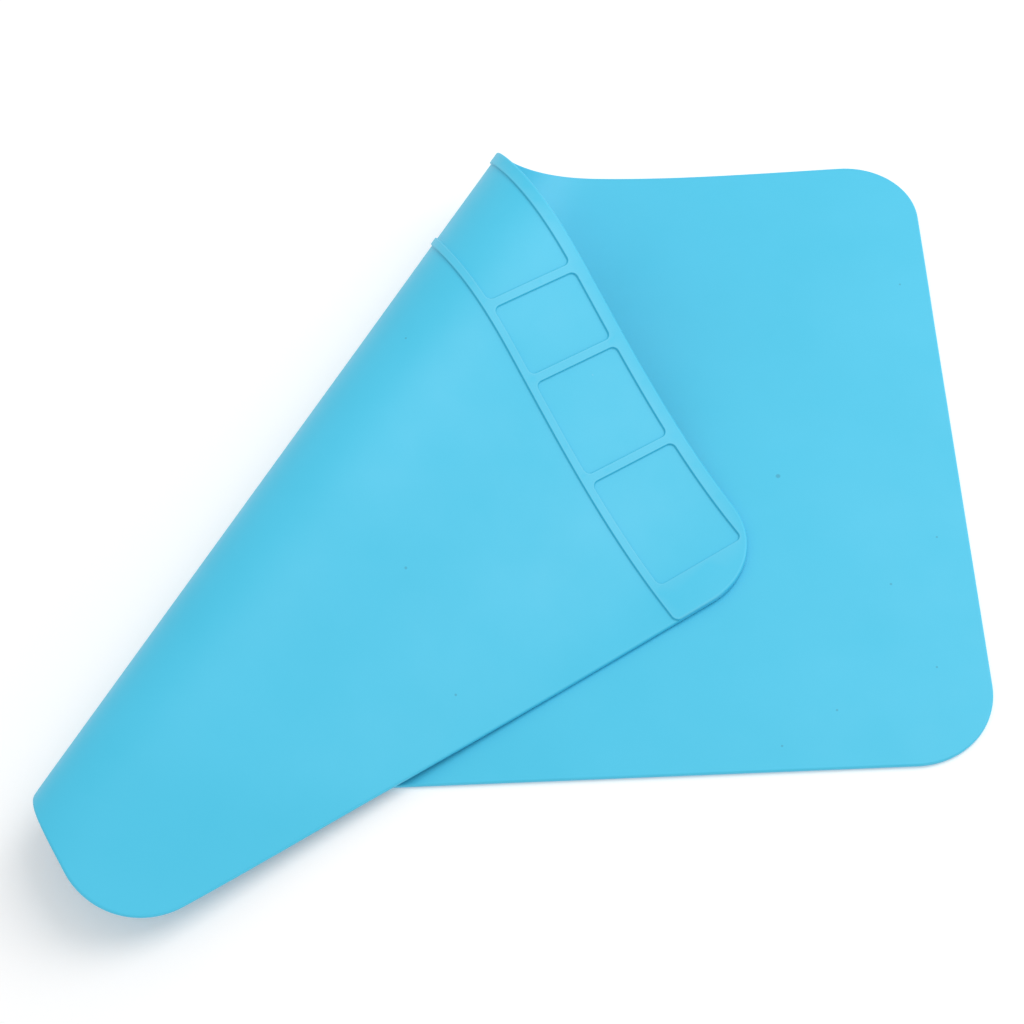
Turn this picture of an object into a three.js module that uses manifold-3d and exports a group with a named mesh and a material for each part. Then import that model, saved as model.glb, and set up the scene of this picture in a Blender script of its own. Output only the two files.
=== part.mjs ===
// A moulded silicone work mat, lying upside down with its left part folded over.
// Millimetres, +Z up. The mat is one sheet: a plain field, and along one long edge
// a raised band with a row of shallow parts pockets. X runs along the long edge,
// Y along the short edge away from the viewer. The lower layer shows its smooth
// underside, the folded part shows the working face with the pocket band.
//
// The mat is drawn flat, with its relief, and then bent: the folded sheet is a
// general cone, so it bends without stretching, as a sheet does. Its rulings all
// point at one apex in the plane of the lower layer.

import * as THREE from 'three';
import { mergeVertices } from 'three/addons/utils/BufferGeometryUtils.js';
import Module from 'manifold-3d';

// Dimensions

// The flat mat
const matLength = 340;          // long edge
const matDepth = 228;           // short edge
const cornerRadius = 24.4;      // the four rounded corners
const sheetThickness = 1.5;     // plain field
const reliefHeight = 0.65;      // band ribs above the field

// The pocket band along the far long edge
const bandDepth = 38;           // far edge to the band's inner line
const bandEndFillet = 2.5;      // where the inner line runs out at the short edges
const farRim = 4.4;             // rib outside the pockets
const innerRim = 2.8;           // rib between the pockets and the field
const endRim = 13;              // plain end between the short edge and the first pocket
const divider = 2.7;            // rib between two pockets
const pocketRadius = 2.2;       // pocket corners in plan
const endPocket = 39.8;         // widths from each end inwards; the middle
const nextPocket = 33.5;        // pocket takes the length that is left
const smallPocket = 24.6;

// The fold
const apexX = -120.8;           // where the rulings meet, from the near left
const apexY = -316.9;           // corner of the flat mat
const liftAngle = 52.11;        // degrees: the sheet leaves the lower layer here
const liftSpan = 4.71;          // gentle lift
const tightenSpan = 2.52;       // curvature grows to its peak
const relaxSpan = 7.16;         // and falls to nothing
const settleSpan = 8.75;        // the folded part curves back
const landSpan = 0.38;          // and lands flat
const liftCurvature = 3.04;     // bend per radian in the gentle lift
const layerGap = 0.3;           // clear space between the two layers
const facetBend = 7;            // degrees of bend between two rulings of the mesh

// How the sheet lies
const bandSag = 48;             // length over which it comes down from the band
const dropStart = 0;            // the folded part starts down to the table here, at
const edgeDrop = 36;            // the lower layer's near edge, over this length

// Flat mat

// X and Y are those of the mat seen from its smooth underside, because it lies
// with that side up. The third number is the height above the underside, towards
// the working face, so it points down on the lower layer.

const wasm = await Module();
wasm.setup();

// A closed three.js geometry as a solid, for joining and cutting
function solid(geometry) {
  geometry.deleteAttribute('normal');
  geometry.deleteAttribute('uv');
  const merged = mergeVertices(geometry, 1e-4);
  return new wasm.Manifold(new wasm.Mesh({
    numProp: 3,
    vertProperties: Float32Array.from(merged.attributes.position.array),
    triVerts: Uint32Array.from(merged.index.array),
  }));
}

function extrude(shape, bottom, top, arcSegments) {
  const geometry = new THREE.ExtrudeGeometry(shape, { depth: top - bottom, bevelEnabled: false, curveSegments: arcSegments });
  geometry.translate(0, 0, bottom);
  return solid(geometry);
}

function roundedRectangle(x0, y0, x1, y1, radius) {
  const r = Math.min(radius, (x1 - x0) / 2 - 0.01, (y1 - y0) / 2 - 0.01);
  const shape = new THREE.Shape();
  shape.moveTo(x0 + r, y0);
  shape.lineTo(x1 - r, y0);
  shape.absarc(x1 - r, y0 + r, r, -Math.PI / 2, 0);
  shape.lineTo(x1, y1 - r);
  shape.absarc(x1 - r, y1 - r, r, 0, Math.PI / 2);
  shape.lineTo(x0 + r, y1);
  shape.absarc(x0 + r, y1 - r, r, Math.PI / 2, Math.PI);
  shape.lineTo(x0, y0 + r);
  shape.absarc(x0 + r, y0 + r, r, Math.PI, Math.PI * 1.5);
  return shape;
}

// The band's outline: the far part of the mat, its inner corners rounded off
function bandOutline() {
  const y0 = matDepth - bandDepth;
  const f = bandEndFillet;
  const r = cornerRadius;
  const shape = new THREE.Shape();
  shape.moveTo(f, y0);
  shape.lineTo(matLength - f, y0);
  shape.absarc(matLength - f, y0 + f, f, -Math.PI / 2, 0);
  shape.lineTo(matLength, matDepth - r);
  shape.absarc(matLength - r, matDepth - r, r, 0, Math.PI / 2);
  shape.lineTo(r, matDepth);
  shape.absarc(r, matDepth - r, r, Math.PI / 2, Math.PI);
  shape.lineTo(0, y0 + f);
  shape.absarc(f, y0 + f, f, Math.PI, Math.PI * 1.5);
  return shape;
}

// Left ends and widths of the pockets along the band
function pocketRow() {
  const side = [endPocket, nextPocket, smallPocket];
  const row = [];
  let x = endRim;
  for (const width of side) {
    row.push([x, width]);
    row.push([matLength - x - width, width]);
    x += width + divider;
  }
  row.push([x, matLength - 2 * x]);
  return row;
}

function flatMat() {
  const bandTop = sheetThickness + reliefHeight;
  let mat = extrude(roundedRectangle(0, 0, matLength, matDepth, cornerRadius), 0, sheetThickness, 4);
  mat = mat.add(extrude(bandOutline(), 0, bandTop, 4));
  const y0 = matDepth - bandDepth + innerRim;
  const y1 = matDepth - farRim;
  for (const [x, width] of pocketRow()) {
    mat = mat.subtract(extrude(roundedRectangle(x, y0, x + width, y1, pocketRadius), sheetThickness, bandTop + 1, 2));
  }
  const mesh = mat.getMesh();
  const points = [];
  for (let i = 0; i < mesh.vertProperties.length; i += mesh.numProp) {
    points.push([mesh.vertProperties[i], mesh.vertProperties[i + 1], mesh.vertProperties[i + 2]]);
  }
  return { points, triangles: Array.from(mesh.triVerts) };
}

// Cuts every triangle that crosses the plane where side(point) is 0. An edge is
// cut once for both of its triangles, so the surface stays closed. A point this
// near to a cut lies on it.
const near = 0.04;

function splitAlong(mesh, side) {
  const value = mesh.points.map((p) => {
    const s = side(p);
    return Math.abs(s) < near ? 0 : s;
  });
  const cuts = new Map();
  const cut = (a, b) => {
    const [i, j] = a < b ? [a, b] : [b, a];
    const key = i * 1e7 + j;
    if (!cuts.has(key)) {
      const t = value[i] / (value[i] - value[j]);
      const p = mesh.points[i];
      const q = mesh.points[j];
      cuts.set(key, mesh.points.length);
      mesh.points.push(p.map((c, k) => c + (q[k] - c) * t));
      value.push(0);
    }
    return cuts.get(key);
  };
  const out = [];
  for (let i = 0; i < mesh.triangles.length; i += 3) {
    const triangle = mesh.triangles.slice(i, i + 3);
    const signs = triangle.map((v) => Math.sign(value[v]));
    if (!signs.includes(1) || !signs.includes(-1)) {
      out.push(...triangle);
      continue;
    }
    const halves = { 1: [], [-1]: [] };
    for (let k = 0; k < 3; k++) {
      const a = triangle[k];
      const b = triangle[(k + 1) % 3];
      if (signs[k] >= 0) halves[1].push(a);
      if (signs[k] <= 0) halves[-1].push(a);
      if (signs[k] * signs[(k + 1) % 3] < 0) {
        const c = cut(a, b);
        halves[1].push(c);
        halves[-1].push(c);
      }
    }
    for (const half of [halves[1], halves[-1]]) {
      for (let k = 2; k < half.length; k++) out.push(half[0], half[k - 1], half[k]);
    }
  }
  mesh.triangles = out;
}

// Triangulates a level area from its border loops. Points that the triangulation
// skips on a straight border are put back, because the neighbours still use them.
function fillLevel(points, loops, sign) {
  const flat = (v) => new THREE.Vector2(points[v][0], points[v][1]);
  const area = (loop) => THREE.ShapeUtils.area(loop.map(flat)) * sign;
  const outers = loops.filter((loop) => area(loop) > 0).map((loop) => ({ loop, holes: [] }));
  const inside = (v, loop) => {
    let odd = false;
    const p = flat(v);
    for (let i = 0, j = loop.length - 1; i < loop.length; j = i++) {
      const a = flat(loop[i]);
      const b = flat(loop[j]);
      if ((a.y > p.y) !== (b.y > p.y) && p.x < (b.x - a.x) * (p.y - a.y) / (b.y - a.y) + a.x) odd = !odd;
    }
    return odd;
  };
  for (const hole of loops.filter((loop) => area(loop) < 0)) {
    (outers.find(({ loop }) => inside(hole[0], loop)) ?? outers[0]).holes.push(hole);
  }
  const out = [];
  for (const { loop, holes } of outers) {
    const vertices = [loop, ...holes].flat();
    const faces = THREE.ShapeUtils.triangulateShape(loop.map(flat), holes.map((hole) => hole.map(flat)))
      .map((face) => face.map((k) => vertices[k]));
    if (faces.reduce((sum, face) => sum + area(face), 0) < 0) faces.forEach((face) => face.reverse());
    for (const border of [loop, ...holes]) {
      const n = border.length;
      for (let i = 0; i < n; i++) {
        for (let length = n - 1; length > 1; length--) {
          const from = border[i];
          const to = border[(i + length) % n];
          const f = faces.findIndex((face) => face.some((v, k) => v === from && face[(k + 1) % 3] === to));
          if (f < 0) continue;
          const between = Array.from({ length: length - 1 }, (_, k) => border[(i + 1 + k) % n]);
          if (between.some((v) => faces.some((face) => face.includes(v)))) continue;
          const tip = faces[f].find((v) => v !== from && v !== to);
          const chain = [from, ...between, to];
          faces.splice(f, 1, ...chain.slice(1).map((v, k) => [chain[k], v, tip]));
        }
      }
    }
    out.push(...faces.flat());
  }
  return out;
}

// Joins the level triangles of each cell between the cuts and fills the cell
// again. A point stays where a wall or three cells meet.
function regroup(mesh, cell) {
  const groups = new Map();
  const around = mesh.points.map(() => new Set());
  const out = [];
  for (let i = 0; i < mesh.triangles.length; i += 3) {
    const triangle = mesh.triangles.slice(i, i + 3);
    const corners = triangle.map((v) => mesh.points[v]);
    const [a, b, c] = corners.map((p) => new THREE.Vector3(...p));
    const level = Math.abs(new THREE.Triangle(a, b, c).getNormal(new THREE.Vector3()).z) > 0.5;
    const key = level ? `${a.z.toFixed(2)} ${cell(corners)}` : 'wall';
    triangle.forEach((v) => around[v].add(key));
    if (!level) {
      out.push(...triangle);
      continue;
    }
    if (!groups.has(key)) groups.set(key, []);
    groups.get(key).push(triangle);
  }
  for (const triangles of groups.values()) {
    const edges = new Set(triangles.flatMap(([a, b, c]) => [`${a} ${b}`, `${b} ${c}`, `${c} ${a}`]));
    const next = new Map();
    for (const edge of edges) {
      const [a, b] = edge.split(' ').map(Number);
      if (edges.has(`${b} ${a}`)) continue;
      if (!next.has(a)) next.set(a, []);
      next.get(a).push(b);
    }
    const loops = [];
    for (const start of next.keys()) {
      while (next.get(start).length > 0) {
        const loop = [];
        let v = start;
        do {
          loop.push(v);
          v = next.get(v).pop();
        } while (v !== start);
        loops.push(loop.filter((p) => around[p].has('wall') || around[p].size > 2));
      }
    }
    const [a, b, c] = triangles[0].map((v) => new THREE.Vector2(mesh.points[v][0], mesh.points[v][1]));
    out.push(...fillLevel(mesh.points, loops.filter((loop) => loop.length > 2), Math.sign(THREE.ShapeUtils.area([a, b, c]))));
  }
  mesh.triangles = out;
}

// Fold

const radians = (degrees) => degrees * Math.PI / 180;
const stations = [radians(liftAngle)];
for (const span of [liftSpan, tightenSpan, relaxSpan, settleSpan, landSpan]) {
  stations.push(stations[stations.length - 1] + radians(span));
}

// Bend per radian at an angle: it runs in straight lines between the stations
function curvature(angle, peak, back) {
  const values = [0, liftCurvature, peak, 0, -back, 0];
  for (let i = 1; i < stations.length; i++) {
    if (angle <= stations[i]) {
      const t = (angle - stations[i - 1]) / (stations[i] - stations[i - 1]);
      return values[i - 1] + (values[i] - values[i - 1]) * t;
    }
  }
  return 0;
}

// The bent sheet's frame at each of many angles: along the ruling, across it and
// out of the sheet. shift is how far the flat ruling moves, because the middle of
// the sheet keeps its length and not the plane between the layers.
function foldFrames(peak, back) {
  const steps = 320;
  const first = stations[0];
  const last = stations[stations.length - 1];
  const middle = (layerGap + sheetThickness) / 2;
  const along = new THREE.Vector3(Math.cos(first), Math.sin(first), 0);
  const across = new THREE.Vector3(-Math.sin(first), Math.cos(first), 0);
  const shift = new THREE.Vector2();
  const frames = [];
  for (let i = 0; i <= steps; i++) {
    const angle = first + (last - first) * i / steps;
    frames.push({
      angle,
      along: along.clone(),
      across: across.clone(),
      out: along.clone().cross(across).normalize(),
      shift: shift.clone(),
    });
    const next = angle + (last - first) / steps;
    const bend = curvature((angle + next) / 2, peak, back);
    const axis = along.clone().multiplyScalar(bend).add(along.clone().cross(across));
    const turn = axis.length() * (next - angle);
    axis.normalize();
    along.applyAxisAngle(axis, turn).normalize();
    across.applyAxisAngle(axis, turn).normalize();
    shift.x += middle * bend * (Math.cos(next) - Math.cos(angle));
    shift.y += middle * bend * (Math.sin(next) - Math.sin(angle));
  }
  return frames;
}

// The peak bend and the bend back are what make the folded part land flat on the
// lower layer: no height and no slope are left at the last station.
function closedFold() {
  const spans = stations.slice(1).map((s, i) => s - stations[i]);
  const left = (peak, back) => {
    const end = foldFrames(peak, back).at(-1);
    return [end.along.z, end.across.z];
  };
  let back = 6.2;
  let peak = (Math.PI + back * (spans[3] + spans[4]) / 2 - liftCurvature * (spans[0] + spans[1]) / 2)
    / ((spans[1] + spans[2]) / 2);
  for (let round = 0; round < 30; round++) {
    const [a, b] = left(peak, back);
    const d = 1e-4;
    const [a1, b1] = left(peak + d, back);
    const [a2, b2] = left(peak, back + d);
    const m = [(a1 - a) / d, (a2 - a) / d, (b1 - b) / d, (b2 - b) / d];
    const det = m[0] * m[3] - m[1] * m[2];
    peak -= (a * m[3] - b * m[1]) / det;
    back -= (b * m[0] - a * m[2]) / det;
  }
  return foldFrames(peak, back);
}

const frames = closedFold();

function frameAt(angle) {
  const first = frames[0];
  const last = frames[frames.length - 1];
  const inside = Math.min(Math.max(angle, first.angle), last.angle);
  const place = (inside - first.angle) / (last.angle - first.angle) * (frames.length - 1);
  const i = Math.min(Math.floor(place), frames.length - 2);
  const t = place - i;
  const mix = (name) => frames[i][name].clone().lerp(frames[i + 1][name], t);
  const along = mix('along').normalize();
  const across = mix('across').normalize();
  const beyond = angle - inside;
  return {
    along: along.clone().multiplyScalar(Math.cos(beyond)).addScaledVector(across, Math.sin(beyond)),
    out: mix('out').normalize(),
    shift: mix('shift'),
  };
}

// The angle of the ruling through a point of the flat mat
function rulingAngle(x, y) {
  let angle = Math.atan2(y - apexY, x - apexX);
  for (let round = 0; round < 12; round++) {
    const { shift } = frameAt(angle);
    angle = Math.atan2(y - apexY - shift.y, x - apexX - shift.x);
  }
  return angle;
}

const smooth = (t) => {
  const s = Math.min(Math.max(t, 0), 1);
  return s * s * (3 - 2 * s);
};

// A point of the flat mat, at a height above its underside, in the folded mat.
// Z is 0 at the working face of the lower layer, which lies on the table. The
// lower layer comes up a little to lie on its band. The last number is the share
// of the folded part: 0 on the lower layer, 1 on the part that lies on it.
function fold([x, y, height]) {
  const frame = frameAt(rulingAngle(x, y));
  const reach = Math.hypot(x - apexX - frame.shift.x, y - apexY - frame.shift.y);
  const point = new THREE.Vector3(apexX, apexY, layerGap / 2 + sheetThickness)
    .addScaledVector(frame.along, reach)
    .addScaledVector(frame.out, -(layerGap / 2 + height));
  const lower = (1 + frame.out.z) / 2;
  point.z += lower * reliefHeight * smooth((y - (matDepth - bandDepth + innerRim / 2 - bandSag)) / bandSag);
  return [point.x, point.y, point.z, 1 - lower];
}

// Past the lower layer's near edge the folded part comes down to the table
function drop([x, y, z, upper]) {
  return [x, y, z - upper * (sheetThickness + layerGap) * smooth((dropStart - y) / edgeDrop)];
}

// Folded mat

function foldedMat() {
  const mesh = flatMat();
  const rulings = [];
  let bend = Infinity;
  for (let i = 0; i < frames.length; i++) {
    if (i > 0) bend += frames[i].out.angleTo(frames[i - 1].out);
    if (bend < radians(facetBend) && i < frames.length - 1) continue;
    bend = 0;
    const { angle, shift } = frames[i];
    rulings.push(([x, y]) => (x - apexX - shift.x) * Math.sin(angle) - (y - apexY - shift.y) * Math.cos(angle));
  }
  const steps = [0, 1, 2, 3, 4].map((i) => ([, y]) => y - (matDepth - bandDepth + innerRim / 2 - bandSag * (1 - i / 4)));
  for (const side of [...rulings, ...steps]) splitAlong(mesh, side);
  regroup(mesh, (corners) => [rulings, steps]
    .map((sides) => sides.filter((side) => corners.some((p) => side(p) >= near)).length).join(' '));

  mesh.points = mesh.points.map(fold);
  for (let i = 0; i <= 4; i++) {
    splitAlong(mesh, ([, y]) => y - (dropStart - edgeDrop * i / 4));
  }
  mesh.points = mesh.points.map(drop);
  mesh.triangles.reverse();  // heights point down, so the faces turn round
  return mesh;
}

const geometry = new THREE.BufferGeometry();
const folded = foldedMat();
geometry.setAttribute('position', new THREE.Float32BufferAttribute(folded.points.flatMap(([x, y, z]) => [x, y, z]), 3));
geometry.setIndex(folded.triangles);
geometry.computeVertexNormals();
geometry.computeBoundingBox();
const middle = geometry.boundingBox.getCenter(new THREE.Vector3());
geometry.translate(-middle.x, -middle.y, -geometry.boundingBox.min.z);

const silicone = new THREE.MeshStandardMaterial({ color: 0x62cff0, roughness: 0.62, metalness: 0 });
const mat = new THREE.Mesh(geometry, silicone);
mat.name = 'soldering_mat';

const model = new THREE.Group();
model.add(mat);

export default model;
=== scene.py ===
# %% [markdown]
# # A folded silicone work mat
# The object is one thin sheet of moulded silicone rubber. It lies upside down on
# a table with its left part folded over, so both faces show: the smooth underside
# on the right, and on the folded part the working face with its row of shallow
# pockets. We load the measured frame first, because everything is fitted to it.

# %% Load the frame
import math
import bpy
import numpy as np
from mathutils import Matrix, Vector
from mathutils.geometry import delaunay_2d_cdt


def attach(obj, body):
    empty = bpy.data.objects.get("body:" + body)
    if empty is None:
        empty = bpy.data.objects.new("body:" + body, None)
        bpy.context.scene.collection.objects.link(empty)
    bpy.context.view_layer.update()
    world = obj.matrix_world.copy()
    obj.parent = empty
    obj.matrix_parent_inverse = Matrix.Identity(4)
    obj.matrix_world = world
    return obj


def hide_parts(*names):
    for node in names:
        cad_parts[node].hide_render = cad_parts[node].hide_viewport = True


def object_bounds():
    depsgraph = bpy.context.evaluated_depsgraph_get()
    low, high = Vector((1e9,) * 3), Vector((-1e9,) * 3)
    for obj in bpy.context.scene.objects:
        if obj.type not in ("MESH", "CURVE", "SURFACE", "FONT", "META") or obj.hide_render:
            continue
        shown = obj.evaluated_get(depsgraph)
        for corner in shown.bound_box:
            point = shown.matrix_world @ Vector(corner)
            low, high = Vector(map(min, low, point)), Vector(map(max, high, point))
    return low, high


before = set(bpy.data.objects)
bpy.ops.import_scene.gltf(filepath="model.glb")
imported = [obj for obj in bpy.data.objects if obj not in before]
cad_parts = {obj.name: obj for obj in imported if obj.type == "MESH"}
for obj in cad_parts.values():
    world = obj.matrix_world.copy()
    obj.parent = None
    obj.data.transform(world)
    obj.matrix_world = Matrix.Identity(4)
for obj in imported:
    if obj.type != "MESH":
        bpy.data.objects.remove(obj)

cad_low, cad_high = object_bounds()
MM = 0.001

# %% [markdown]
# ## The flat mat
# A moulder cuts one flat cavity: a rounded rectangle with a band along the far
# edge that stands a little proud, and pockets sunk back to the level of the
# field. We write that as a height over the flat plan. X and Y are seen from the
# smooth side, in millimetres.

# %% Sizes of the flat mat
LENGTH, DEPTH, CORNER = 340.0, 228.0, 24.4
SHEET, RELIEF = 1.5, 0.65
BAND, BAND_FILLET = 38.0, 2.5
FAR_RIM, INNER_RIM, END_RIM, DIVIDER = 4.4, 2.8, 13.0, 2.7
POCKET_CORNER = 2.2
SIDE_POCKETS = [39.8, 33.5, 24.6]
WALL = 0.30           # how wide the soft moulded step from rib to floor is
EDGE_ROUND = 0.6      # rounding where the top face meets the rim
BACK_ROUND = 0.4      # smaller rounding at the underside

# %% Where the pockets lie
def pocket_row():
    """Each side pocket and its mirror image, and a middle one that takes the rest.
    Returns rows of x0, y0, x1, y1."""
    y0, y1 = DEPTH - BAND + INNER_RIM, DEPTH - FAR_RIM
    x, row = END_RIM, []
    for width in SIDE_POCKETS:
        row += [(x, y0, x + width, y1), (LENGTH - x - width, y0, LENGTH - x, y1)]
        x += width + DIVIDER
    return np.array(row + [(x, y0, LENGTH - x, y1)])

POCKETS = pocket_row()
print(len(POCKETS), "pockets along the band")

# %% Distances that the relief is made from
def box_distance(x, y, box, radius):
    """Signed distance to a rectangle with round corners, positive inside: the
    radius less the length of the offset from the inner rectangle."""
    x0, y0, x1, y1 = box
    qx = np.abs(x - (x0 + x1) / 2) - (x1 - x0) / 2 + radius
    qy = np.abs(y - (y0 + y1) / 2) - (y1 - y0) / 2 + radius
    out = np.hypot(np.maximum(qx, 0), np.maximum(qy, 0)) + np.minimum(np.maximum(qx, qy), 0)
    return radius - out

def soft_step(t):
    """0 to 1 with flat ends: 3t^2 - 2t^3."""
    t = np.clip(t, 0.0, 1.0)
    return t * t * (3 - 2 * t)

def edge_round(d, r):
    """How far a quarter circle of radius r lies below the face, at a distance d
    in from the rim: r - sqrt(r^2 - (r - d)^2)."""
    u = np.clip(r - d, 0, r)
    return r - np.sqrt(np.maximum(r * r - u * u, 0))

# %% The relief over the plan
def band_distance(x, y):
    """Signed distance to the band, positive inside. Its box runs on past the mat on
    three sides, so only its inner line counts."""
    return box_distance(x, y, (-WALL, DEPTH - BAND, LENGTH + WALL, 2 * DEPTH), BAND_FILLET)

def relief(x, y):
    """Height of the working face above the underside: the sheet, plus a soft step
    up inside the band, less a soft step down inside each pocket, rounded off
    towards the rim."""
    rib = soft_step(band_distance(x, y) / WALL)
    for box in POCKETS:
        rib = rib * (1 - soft_step(box_distance(x, y, box, POCKET_CORNER) / WALL))
    rim = box_distance(x, y, (0, 0, LENGTH, DEPTH), CORNER)
    return SHEET + RELIEF * rib - edge_round(rim, EDGE_ROUND)

def underside(x, y):
    """Height of the smooth face: 0, rounded up a little at the rim."""
    return edge_round(box_distance(x, y, (0, 0, LENGTH, DEPTH), CORNER), BACK_ROUND)

# %% Painted shade in creases, painted highlight on shoulders
FOOT_WIDTH = 0.22
SHOULDER_BACK, SHOULDER_WIDTH = 0.15, 0.25

def step_shade_and_highlight(x, y):
    """How much darker the sheet is painted: 1 in the corner at the foot of each step, as painted shade where
    the step shades the floor, and below 0 on the shoulder above it, as a painted highlight. Both fade within
    half a millimetre."""
    shade = np.zeros_like(x)
    for inside in [WALL - band_distance(x, y)] + [box_distance(x, y, box, POCKET_CORNER) for box in POCKETS]:
        foot = np.exp(-((inside - WALL) / FOOT_WIDTH) ** 2)
        shoulder = np.exp(-((inside + SHOULDER_BACK) / SHOULDER_WIDTH) ** 2)
        shade += foot - shoulder / 2
    return shade

# %% [markdown]
# ## The fold
# A sheet that is folded over slantwise bends as a cone: straight lines run from
# one apex through it, and along them it doesn't bend at all. So we only have to
# say how sharply it bends from one line to the next, carry a small frame along,
# and every point of the flat mat finds its place. Nothing stretches, which is
# what makes it look like real sheet and not like a bent block.

# %% Sizes of the fold
APEX = np.array([-120.8, -316.9])
LIFT_ANGLE = 52.11
SPANS = [4.71, 2.52, 7.16, 8.75, 0.38]   # lift, tighten, relax, settle, land
LIFT_CURVATURE = 3.04
FIRST_BACK = 6.2      # where the search for the bend back starts
LAYER_GAP = 0.3
BAND_SAG, EDGE_DROP = 48.0, 36.0
FRAME_STEPS = 320
stations = np.radians(np.cumsum([LIFT_ANGLE] + SPANS))

# %% The frame that the bend carries along
def turned(v, axis, angle):
    """v turned about a unit axis, by Rodrigues' formula."""
    return (v * math.cos(angle) + np.cross(axis, v) * math.sin(angle)
            + axis * np.dot(axis, v) * (1 - math.cos(angle)))

def fold_frames(peak, back):
    """At each of many angles: the line's direction, the direction across it and
    the small shift of the flat line. The bend per radian runs straight between
    the stations, through 0, LIFT_CURVATURE, peak, 0, -back and 0."""
    angles = np.linspace(stations[0], stations[-1], FRAME_STEPS + 1)
    middles = (angles[1:] + angles[:-1]) / 2
    bends = np.interp(middles, stations, [0, LIFT_CURVATURE, peak, 0, -back, 0])
    along = np.array([math.cos(angles[0]), math.sin(angles[0]), 0.0])
    across = np.array([-along[1], along[0], 0.0])
    rows, shift, step = [], np.zeros(2), angles[1] - angles[0]
    for angle, bend in zip(angles, list(bends) + [0.0]):
        rows.append((along, across, shift))
        axis = bend * along + np.cross(along, across)
        size = np.linalg.norm(axis)
        along = turned(along, axis / size, size * step)
        across = turned(across, axis / size, size * step)
        arc = [math.cos(angle + step) - math.cos(angle), math.sin(angle + step) - math.sin(angle)]
        shift = shift + (LAYER_GAP + SHEET) / 2 * bend * np.array(arc)
    return angles, *(np.array(column) for column in zip(*rows))

def closed_fold():
    """The peak bend and the bend back for which the folded part lands flat: two
    unknowns, found by Newton's method on the last height and the last slope."""
    spans = np.diff(stations)
    back = FIRST_BACK
    turn_left = math.pi + back * spans[3:].sum() / 2 - LIFT_CURVATURE * spans[:2].sum() / 2
    peak = turn_left / (spans[1:3].sum() / 2)
    guess, d = np.array([peak, back]), 1e-4
    def left(g):
        _, along, across, _ = fold_frames(*g)
        return np.array([along[-1, 2], across[-1, 2]])
    for _ in range(12):
        here = left(guess)
        slopes = np.column_stack([(left(guess + d * unit) - here) / d for unit in np.eye(2)])
        guess = guess - np.linalg.solve(slopes, here)
    print("bend at the tightest line %.2f, bend back %.2f per radian" % tuple(guess))
    return fold_frames(*guess)

ANGLES, ALONG, ACROSS, SHIFT = closed_fold()
OUT = np.cross(ALONG, ACROSS)

# %% From the flat mat to the folded one
def row_at(table, angle):
    """The rows of a table at any angles, straight between its entries."""
    return np.stack([np.interp(angle, ANGLES, table[:, k]) for k in range(table.shape[1])], -1)

def line_angle(x, y):
    """The angle of the line through each flat point. The line's shift depends on
    the angle, so we look a dozen times, and it settles."""
    angle = np.arctan2(y - APEX[1], x - APEX[0])
    for _ in range(12):
        shift = row_at(SHIFT, np.clip(angle, ANGLES[0], ANGLES[-1]))
        angle = np.arctan2(y - APEX[1] - shift[:, 1], x - APEX[0] - shift[:, 0])
    return angle

middle = np.array([LENGTH, DEPTH]) - np.array(cad_high[:2]) / MM

def fold(x, y, height):
    """Where the points of the flat mat lie: apex + reach * line - height * out of
    the sheet. The lower layer rises a little to lie on its band, and past its
    near edge the folded part comes down to the table."""
    angle = line_angle(x, y)
    inside = np.clip(angle, ANGLES[0], ANGLES[-1])
    along, across, out = (row_at(t, inside) for t in (ALONG, ACROSS, OUT))
    beyond = (angle - inside)[:, None]
    along = along * np.cos(beyond) + across * np.sin(beyond)
    along /= np.linalg.norm(along, axis=1, keepdims=True)
    shift = row_at(SHIFT, inside)
    reach = np.hypot(x - APEX[0] - shift[:, 0], y - APEX[1] - shift[:, 1])[:, None]
    points = reach * along - (LAYER_GAP / 2 + height)[:, None] * out
    points += [APEX[0], APEX[1], LAYER_GAP / 2 + SHEET]
    lower = (1 + out[:, 2]) / 2
    sag_end = DEPTH - BAND + INNER_RIM / 2
    points[:, 2] += lower * RELIEF * soft_step((y - sag_end + BAND_SAG) / BAND_SAG)
    points[:, 2] -= (1 - lower) * (SHEET + LAYER_GAP) * soft_step(-points[:, 1] / EDGE_DROP)
    points[:, :2] -= middle
    return points * MM

# %% [markdown]
# ## The net of points
# The relief is small and crisp, so the mesh follows it: rings of points run along
# every step and rim, a few tenths of a millimetre apart, and wide polar rows fill
# the plain areas, closest where the bend is tightest. A constrained Delaunay
# triangulation joins them up.

# %% Rings along the steps
STEP = 1.6

def ring(box, radius, inset):
    """A rectangle with round corners, inset evenly: straight sides with a point
    every STEP, and quarter circles of radius - inset."""
    x0, y0, x1, y1 = box
    r, pieces = radius - inset, []
    corners = [(x1 - radius, y0 + radius, -0.5), (x1 - radius, y1 - radius, 0.0),
               (x0 + radius, y1 - radius, 0.5), (x0 + radius, y0 + radius, 1.0)]
    turns = max(8, int(round(radius * math.pi / 2 / STEP)))
    for i, (cx, cy, start) in enumerate(corners):
        a = np.pi * (start + 0.5 * np.arange(turns + 1) / turns)
        arc = np.stack([cx + r * np.cos(a), cy + r * np.sin(a)], -1)
        nx, ny, first = corners[(i + 1) % 4]
        goal = np.array([nx + r * math.cos(math.pi * first), ny + r * math.sin(math.pi * first)])
        count = max(2, int(round(np.linalg.norm(goal - arc[-1]) / STEP)))
        side = arc[-1] + (goal - arc[-1]) * (np.arange(1, count) / count)[:, None]
        pieces += [arc, side]
    return np.concatenate(pieces)

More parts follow.
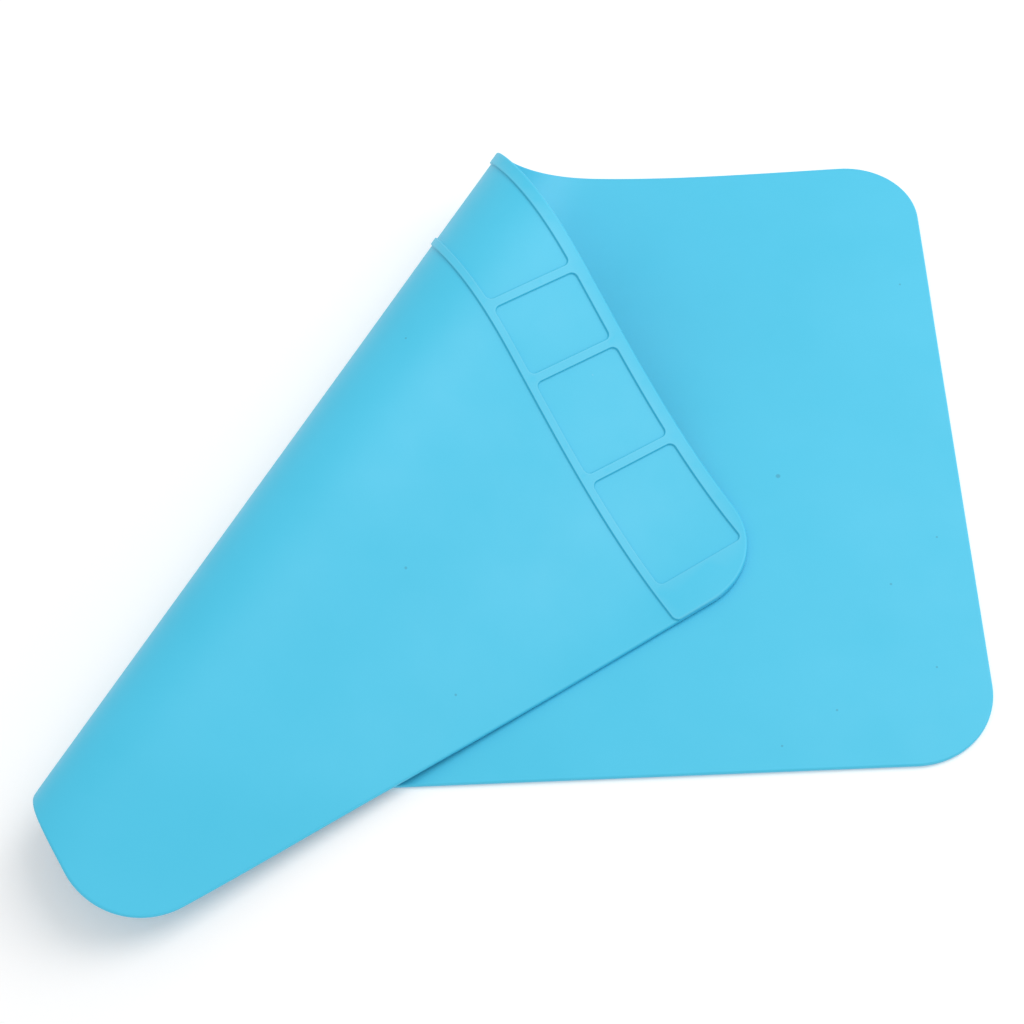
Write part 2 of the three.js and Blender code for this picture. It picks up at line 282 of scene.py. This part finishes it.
def band_line(inset):
    """The band's inner line moved in by inset: a straight run with a quarter
    circle at each end, kept to the inside of the mat."""
    y0, r = DEPTH - BAND, BAND_FILLET - inset
    a = np.linspace(0, np.pi / 2, 9)
    left = np.stack([BAND_FILLET - WALL - r * np.cos(a), y0 + BAND_FILLET - r * np.sin(a)], -1)
    x = np.linspace(BAND_FILLET, LENGTH - BAND_FILLET, int(LENGTH / STEP))
    run = np.stack([x, np.full_like(x, y0 + inset)], -1)
    line = np.concatenate([left, run, np.array([LENGTH, 0]) + left[::-1] * [-1, 1]])
    return line[(line[:, 0] > 0.03) & (line[:, 0] < LENGTH - 0.03)]

rim_insets = np.array([0.0, 0.08, 0.25, EDGE_ROUND, EDGE_ROUND + 0.35])
step_insets = np.array([-0.4, -0.2, 0.0, 0.07, 0.15, 0.23, 0.3, 0.5, 0.75])
rings = [ring((0, 0, LENGTH, DEPTH), CORNER, d) for d in rim_insets]
rings += [ring(box, POCKET_CORNER, d) for box in POCKETS for d in step_insets]
lines = [band_line(d) for d in step_insets]
print(len(rings), "rings and", len(lines), "band lines")

# %% Polar rows over the plain areas
FIRST_ANGLE, LAST_ANGLE = math.radians(30), math.radians(82)   # the mat lies between
FIRST_REACH, LAST_REACH = 290, 730
CLEAR_OF_RIM, CLEAR_OF_STEP = 1.6, 1.2

def polar_fill(bend_step=math.radians(4.5), flat_step=0.011, reach_step=3.4):
    """Points on lines through the apex: the lines are bend_step of bend apart in
    the fold and flat_step radians apart on the flat, with a point every
    reach_step along each. Points close to a step or the rim are left out."""
    turn = np.concatenate([[0], np.cumsum(np.arccos(np.clip((OUT[1:] * OUT[:-1]).sum(1), -1, 1)))])
    count = int(turn[-1] / bend_step)
    bent = np.interp(np.linspace(0, turn[-1], count + 1), turn, ANGLES)
    gaps = np.diff(bent)
    bent = np.concatenate([np.linspace(a, b, int(np.ceil(g / flat_step)) + 1)[:-1]
                           for a, b, g in zip(bent, bent[1:], gaps)] + [bent[-1:]])
    flat = np.arange(FIRST_ANGLE, ANGLES[0] - flat_step / 2, flat_step)
    past = np.arange(ANGLES[-1] + flat_step, LAST_ANGLE, flat_step)
    reaches = np.arange(FIRST_REACH, LAST_REACH, reach_step)
    angle, reach = np.meshgrid(np.concatenate([flat, bent, past]), reaches)
    shift = row_at(SHIFT, np.clip(angle.ravel(), ANGLES[0], ANGLES[-1]))
    x = APEX[0] + shift[:, 0] + reach.ravel() * np.cos(angle.ravel())
    y = APEX[1] + shift[:, 1] + reach.ravel() * np.sin(angle.ravel())
    keep = box_distance(x, y, (0, 0, LENGTH, DEPTH), CORNER) > CLEAR_OF_RIM
    keep &= np.abs(y - (DEPTH - BAND + WALL / 2)) > CLEAR_OF_STEP
    for box in POCKETS:
        keep &= np.abs(box_distance(x, y, box, POCKET_CORNER) - WALL / 2) > CLEAR_OF_STEP
    return np.stack([x[keep], y[keep]], -1)

fill = polar_fill()

# %% Join the points up
def triangulated():
    """Plan points and triangles of the whole mat, counter-clockwise, with every
    ring and line kept as edges."""
    points, edges, start = [], [], 0
    for chain, closed in [(r, True) for r in rings] + [(l, False) for l in lines]:
        ids = np.arange(start, start + len(chain))
        pairs = np.stack([ids, np.roll(ids, -1)], -1)
        points.append(chain)
        edges.append(pairs if closed else pairs[:-1])
        start += len(chain)
    points = np.concatenate(points + [fill])
    plan, _, faces, *_ = delaunay_2d_cdt(
        [Vector(p) for p in points.tolist()], np.concatenate(edges).tolist(), [], 0, 1e-4)
    return np.array([v[:] for v in plan]), np.array(faces)

plan, triangles = triangulated()
print(len(plan), "plan points,", len(triangles), "plan triangles")

# %% [markdown]
# ## The mat as one closed skin
# The same plan triangles serve both faces: once at the relief's height, once at
# the underside's. A strip of quads along the rim joins them, so the sheet is
# closed and has its real thickness.

# %% Put the skin into a mesh
PLAN_UNIT = 100.0      # millimetres for one unit of the plan coordinates
SMOOTH_SHIFT = 5.0     # the smooth face's plan coordinates lie this far up

def skin(name):
    """Both faces and the rim: the underside's triangles as they are, the working
    face's turned round, and a quad for each edge that only one triangle has."""
    x, y = plan.T
    n = len(plan)
    points = np.concatenate([fold(x, y, underside(x, y)), fold(x, y, relief(x, y))])
    sides = np.concatenate([triangles[:, [0, 1]], triangles[:, [1, 2]], triangles[:, [2, 0]]])
    code, back = sides[:, 0] * n + sides[:, 1], sides[:, 1] * n + sides[:, 0]
    rim = sides[~np.isin(back, code)]
    quads = np.stack([rim[:, 1], rim[:, 0], rim[:, 0] + n, rim[:, 1] + n], -1)
    loops = np.concatenate([triangles.ravel(), (triangles[:, ::-1] + n).ravel(), quads.ravel()])
    sizes = np.concatenate([np.full(2 * len(triangles), 3), np.full(len(quads), 4)])
    mesh = bpy.data.meshes.new(name)
    mesh.vertices.add(len(points))
    mesh.vertices.foreach_set("co", points.ravel())
    mesh.loops.add(len(loops))
    mesh.loops.foreach_set("vertex_index", loops.astype(np.int32))
    mesh.polygons.add(len(sizes))
    mesh.polygons.foreach_set("loop_start", (np.cumsum(sizes) - sizes).astype(np.int32))
    mesh.update(calc_edges=True)
    mesh.polygons.foreach_set("use_smooth", np.ones(len(sizes), bool))
    flat = mesh.uv_layers.new(name="plan")
    smooth = np.repeat(np.arange(len(sizes)) < len(triangles), sizes)
    uv = plan[loops % n] / PLAN_UNIT + smooth[:, None] * [0, SMOOTH_SHIFT]
    flat.data.foreach_set("uv", uv.astype(np.float32).ravel())
    # painted shade at the foot of each step and a painted highlight on its shoulder, kept on the working
    # face's points
    painted_shading = mesh.attributes.new("step_shade_and_highlight", "FLOAT", "POINT")
    painted_shading.data.foreach_set("value", np.concatenate([np.zeros(n), step_shade_and_highlight(x, y)]).astype(np.float32))
    obj = bpy.data.objects.new(name, mesh)
    bpy.context.scene.collection.objects.link(obj)
    print(name, len(points), "points,", int((sizes - 2).sum()), "triangles")
    return obj

mat = skin("silicone_mat")
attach(mat, "root")
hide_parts("soldering_mat")

# %% [markdown]
# ## Silicone
# The mat is pigmented silicone rubber: one dull sky blue all through. Close up it
# isn't one flat colour, though. The mould leaves a very fine grain, the pigment is a
# little uneven, hands leave smoother patches, and lint sticks to it. Each of these
# is a small node group that reads the plan coordinates, so the pattern follows the
# sheet round the fold and doesn't stretch.

# %% Helpers for node groups
def new_group(name, inputs, outputs):
    """An empty shader group. inputs are (label, socket type, value), outputs are
    (label, socket type)."""
    group = bpy.data.node_groups.new(name, "ShaderNodeTree")
    for label, kind, value in inputs:
        socket = group.interface.new_socket(label, in_out="INPUT", socket_type=kind)
        if value is not None:
            socket.default_value = value
    for label, kind in outputs:
        group.interface.new_socket(label, in_out="OUTPUT", socket_type=kind)
    return group, group.nodes.new("NodeGroupInput"), group.nodes.new("NodeGroupOutput")

def add(tree, kind, settings=(), values=()):
    """A node of a kind, with its settings and with its input sockets by name or
    number. A value that is a socket is linked, any other is set."""
    made = tree.nodes.new(kind)
    for key, value in dict(settings).items():
        setattr(made, key, value)
    for key, value in dict(values).items():
        if isinstance(value, bpy.types.NodeSocket):
            tree.links.new(value, made.inputs[key])
        else:
            made.inputs[key].default_value = value
    return made

def math_node(tree, operation, *values, clamp=False):
    """The result socket of a Math node."""
    settings = {"operation": operation, "use_clamp": clamp}
    return add(tree, "ShaderNodeMath", settings, enumerate(values)).outputs[0]

def put_out(tree, outlet, **sockets):
    for label, socket in sockets.items():
        tree.links.new(socket, outlet.inputs[label])

def tinted(tree, share, below, above):
    """The colour below with a share of the colour above over it."""
    values = {0: share, 6: below, 7: above}
    return add(tree, "ShaderNodeMix", {"data_type": "RGBA"}, values).outputs[2]

FLOAT, VECTOR = "NodeSocketFloat", "NodeSocketVector"

# %% Moulded grain
def make_grain():
    """Normal of two sizes of bump: the grain of the mould, and the faint long
    waves of a sheet that doesn't lie quite flat."""
    group, inlet, outlet = new_group("moulded grain", [
        ("Vector", VECTOR, None), ("Grain per 100 mm", FLOAT, 260.0), ("Grain height", FLOAT, 0.00001),
        ("Waves per 100 mm", FLOAT, 2.2), ("Wave height", FLOAT, 0.00005)], [("Normal", VECTOR)])
    normal = None
    for rate, height, detail in [("Waves per 100 mm", "Wave height", 1.0),
                                 ("Grain per 100 mm", "Grain height", 3.0)]:
        noise = add(group, "ShaderNodeTexNoise", {}, {
            "Vector": inlet.outputs["Vector"], "Scale": inlet.outputs[rate], "Detail": detail})
        raised = math_node(group, "MULTIPLY", noise.outputs[0], inlet.outputs[height])
        values = {"Height": raised, "Distance": 1.0}
        if normal is not None:
            values["Normal"] = normal
        normal = add(group, "ShaderNodeBump", {}, values).outputs[0]
    put_out(group, outlet, Normal=normal)
    return group

# %% Uneven pigment and handling
def make_unevenness():
    """A value round 0 that wanders by up to Amount: broad clouds of 40 mm with
    finer ones of 6 mm on them."""
    group, inlet, outlet = new_group("unevenness", [
        ("Vector", VECTOR, None), ("Clouds per 100 mm", FLOAT, 2.5), ("Amount", FLOAT, 0.02)],
        [("Value", FLOAT)])
    noise = add(group, "ShaderNodeTexNoise", {}, {
        "Vector": inlet.outputs["Vector"], "Scale": inlet.outputs["Clouds per 100 mm"],
        "Detail": 4.0, "Roughness": 0.55})
    centred = math_node(group, "SUBTRACT", noise.outputs[0], 0.5)
    wide = math_node(group, "MULTIPLY", centred, 4.0)
    put_out(group, outlet, Value=math_node(group, "MULTIPLY", wide, inlet.outputs["Amount"]))
    return group

# %% Lint and specks
def make_specks():
    """A mask of small round specks: 1 where the nearest cell point of a Voronoi
    texture is closer than Radius, in the few cells whose colour passes Share."""
    group, inlet, outlet = new_group("specks", [
        ("Vector", VECTOR, None), ("Cells per 100 mm", FLOAT, 8.0), ("Radius", FLOAT, 0.02),
        ("Share", FLOAT, 0.05)], [("Mask", FLOAT)])
    cells = add(group, "ShaderNodeTexVoronoi", {}, {
        "Vector": inlet.outputs["Vector"], "Scale": inlet.outputs["Cells per 100 mm"]})
    parts = add(group, "ShaderNodeSeparateColor", {}, {"Color": cells.outputs["Color"]})
    chosen = math_node(group, "LESS_THAN", parts.outputs[0], inlet.outputs["Share"])
    size = math_node(group, "MULTIPLY", parts.outputs[1], inlet.outputs["Radius"])
    near = math_node(group, "DIVIDE", cells.outputs["Distance"], size)
    round_dot = math_node(group, "SUBTRACT", 1.6, near, clamp=True)
    put_out(group, outlet, Mask=math_node(group, "MULTIPLY", round_dot, chosen))
    return group

grain, unevenness, specks = make_grain(), make_unevenness(), make_specks()
print("node groups:", [g.name for g in (grain, unevenness, specks)])

# %% The silicone itself
SKY_BLUE = (0.060, 0.565, 0.815, 1)
SHADE_BLUE = (0.050, 0.545, 0.785, 1)
# painted shade in the creases: its deep teal tint, and below the shares of painted shade and painted
# highlight
CREASE_SHADE_TEAL = (0.010, 0.360, 0.500, 1)
SPECK_GREY = (0.03, 0.22, 0.34, 1)
# pale lint colour for the real lint specks, also used as the painted highlight on the shoulders of the steps
LINT_AND_HIGHLIGHT = (0.55, 0.78, 0.86, 1)
CREASE_SHOWN, SHOULDER_SHOWN = 0.28, 0.22   # shares of the tints in the mat's colour
LINT_SHOWN, SPECKS_SHOWN = 0.35, 0.45
DULLNESS = 0.5
# Specks on the lower layer's smooth face and on the folded working face, each as
# X, Y in millimetres on the flat mat and its radius
SMOOTH_SPECKS = [(284.1, 100.9, 0.75), (314.7, 59.8, 0.4), (324.8, 31.0, 0.35), (330.4, 75.6, 0.35),
                 (294.5, 18.4, 0.35), (277.7, 7.7, 0.35), (330.6, 174.7, 0.35)]
WORKING_SPECKS = [(55.7, 127.4, 0.45), (14.9, 121.7, 0.4), (121.1, 164.3, 0.35)]

def spots(tree, plan_vector, places):
    """A mask of round spots at known places: 1 within a radius of any of them,
    with a soft rim."""
    mask = 0.0
    for x, y, radius in places:
        away = add(tree, "ShaderNodeVectorMath", {"operation": "DISTANCE"},
                   {0: plan_vector, 1: (x / PLAN_UNIT, y / PLAN_UNIT, 0)}).outputs["Value"]
        dot = math_node(tree, "MULTIPLY_ADD", away, -2 * PLAN_UNIT / radius, 2.4, clamp=True)
        mask = math_node(tree, "MAXIMUM", dot, mask)
    return mask

def silicone_material():
    """Sky blue, a little darker in the clouds of pigment, with specks and lint on top, painted shade at the
    foot of each step and a painted highlight on its shoulder, a dull gloss that wanders, and the mould's
    grain as a bump."""
    material = bpy.data.materials.new("sky blue silicone")
    material.use_nodes = True
    tree = material.node_tree
    shader = tree.nodes["Principled BSDF"]
    flat = add(tree, "ShaderNodeUVMap", {"uv_map": "plan"}).outputs[0]
    def group(kind, **values):
        made = add(tree, "ShaderNodeGroup", {"node_tree": kind}, {"Vector": flat})
        for key, value in values.items():
            made.inputs[key.replace("_", " ")].default_value = value
        return made.outputs[0]
    clouds = group(unevenness, Clouds_per_100_mm=2.5, Amount=0.5)
    share = math_node(tree, "ADD", clouds, 0.5, clamp=True)
    colour = tinted(tree, share, SKY_BLUE, SHADE_BLUE)
    lint = group(specks, Cells_per_100_mm=6.0, Radius=0.03, Share=0.10)
    colour = tinted(tree, math_node(tree, "MULTIPLY", lint, LINT_SHOWN), colour, LINT_AND_HIGHLIGHT)
    # painted shade: the attribute read here tints the foot of each step deep teal; painted highlight: its
    # negative part tints the shoulder above towards the pale lint colour
    foot = add(tree, "ShaderNodeAttribute", {"attribute_name": "step_shade_and_highlight"}).outputs["Fac"]
    for strength, tint in [(CREASE_SHOWN, CREASE_SHADE_TEAL), (-SHOULDER_SHOWN, LINT_AND_HIGHLIGHT)]:
        colour = tinted(tree, math_node(tree, "MULTIPLY", foot, strength, clamp=True), colour, tint)
    places = [(x, y + SMOOTH_SHIFT * PLAN_UNIT, radius) for x, y, radius in SMOOTH_SPECKS]
    dark = spots(tree, flat, places + WORKING_SPECKS)
    colour = tinted(tree, math_node(tree, "MULTIPLY", dark, SPECKS_SHOWN), colour, SPECK_GREY)
    tree.links.new(colour, shader.inputs["Base Color"])
    handled = group(unevenness, Clouds_per_100_mm=4.0, Amount=0.05)
    tree.links.new(math_node(tree, "ADD", handled, DULLNESS), shader.inputs["Roughness"])
    tree.links.new(group(grain), shader.inputs["Normal"])
    shader.inputs["IOR"].default_value = 1.5
    shader.inputs["Specular IOR Level"].default_value = 0.55
    shader.inputs["Sheen Weight"].default_value = 0.04
    shader.inputs["Sheen Roughness"].default_value = 0.5
    return material

mat.data.materials.append(silicone_material())

# %% [markdown]
# ## The floor
# The mat is shown on plain white. A big flat sheet with the dull finish of paper
# gives it something to lie on. It glows very slightly, so that it stays pale while
# the mat still drops a soft shadow where its edge stands off it.

# %% Floor
FLOOR_HALF = 4.0       # metres
floor_mesh = bpy.data.meshes.new("floor")
floor_corners = [(x * FLOOR_HALF, y * FLOOR_HALF, 0) for x, y in [(-1, -1), (1, -1), (1, 1), (-1, 1)]]
floor_mesh.from_pydata(floor_corners, [], [(0, 1, 2, 3)])
floor = bpy.data.objects.new("floor", floor_mesh)
bpy.context.scene.collection.objects.link(floor)
paper = bpy.data.materials.new("white paper")
paper.use_nodes = True
paper_shader = paper.node_tree.nodes["Principled BSDF"]
paper_shader.inputs["Base Color"].default_value = (0.93, 0.93, 0.93, 1)
paper_shader.inputs["Roughness"].default_value = 0.9
paper_shader.inputs["Emission Color"].default_value = (1, 1, 1, 1)
paper_shader.inputs["Emission Strength"].default_value = 0.12
floor.data.materials.append(paper)

# %% [markdown]
# ## The camera
# We look down at the mat from its near side, a little turned and a little rolled.
# The numbers came from fitting a pinhole camera to the mat's outline, so they're
# real distances and angles, and the picture lines up with the folded sheet.

# %% Camera
PHOTO_PX, FOCAL_PX = 1024, 1874.507
TARGET = (199.754, 93.478)                  # millimetres on the flat mat's plan
DISTANCE = 594.112                          # millimetres
TILT, SWING, ROLL = 0.57315, 0.12819, -0.15864   # radians

def camera_from(target, distance, tilt, swing, roll, focal_px):
    """The photograph's view: target on the table, distance along the line of
    sight, tilt from straight down, swing about Z and roll about that line."""
    out, up = math.sin(tilt), math.cos(tilt)
    back = Vector((math.sin(swing) * out, -math.cos(swing) * out, up))
    right = Vector((math.cos(swing), math.sin(swing), 0))
    up = back.cross(right)
    c, s = math.cos(roll), math.sin(roll)
    right, up = right * c + up * s, up * c - right * s
    data = bpy.data.cameras.new("photo")
    data.lens = focal_px * data.sensor_width / PHOTO_PX
    data.clip_start = 0.02
    camera = bpy.data.objects.new("photo", data)
    place = Vector(target) + back * distance
    camera.matrix_world = Matrix([(*right, 0), (*up, 0), (*back, 0), (*place, 1)]).transposed()
    bpy.context.scene.collection.objects.link(camera)
    bpy.context.scene.camera = camera
    print("camera at", [round(v, 3) for v in place], "lens %.1f mm" % data.lens)

looks_at = (*(np.array(TARGET) - middle) * MM, 0)
camera_from(looks_at, DISTANCE * MM, TILT, SWING, ROLL, FOCAL_PX)

# %% [markdown]
# ## The light
# Matt rubber shows its shape through soft shading alone, so most of the light comes
# evenly from the whole studio. One large soft box above the far right side gives
# the ribs their fine bright and dark lines. Colours are shown as they are, with no
# film look on top, or the sky blue would turn pale.

# %% Light
bpy.context.scene.view_settings.view_transform = "Standard"
world = bpy.data.worlds.new("studio")
world.use_nodes = True
world.node_tree.nodes["Background"].inputs["Color"].default_value = (1, 1, 1, 1)
world.node_tree.nodes["Background"].inputs["Strength"].default_value = 0.72
bpy.context.scene.world = world

def soft_box(name, turn, height, power, size=1.0, away=1.4):
    """A square area light that looks at the mat: turn in degrees from +X towards
    +Y, height in degrees above the table, and power in watts."""
    data = bpy.data.lights.new(name, "AREA")
    data.size, data.energy = size, power
    lamp = bpy.data.objects.new(name, data)
    a, b = math.radians(turn), math.radians(height)
    level = away * math.cos(b)
    lamp.location = (level * math.cos(a), level * math.sin(a), away * math.sin(b))
    lamp.rotation_euler = (-lamp.location).to_track_quat("-Z", "Y").to_euler()
    bpy.context.scene.collection.objects.link(lamp)
    print(name, "%.1f W" % power)

soft_box("key", 30, 55, 8.5)
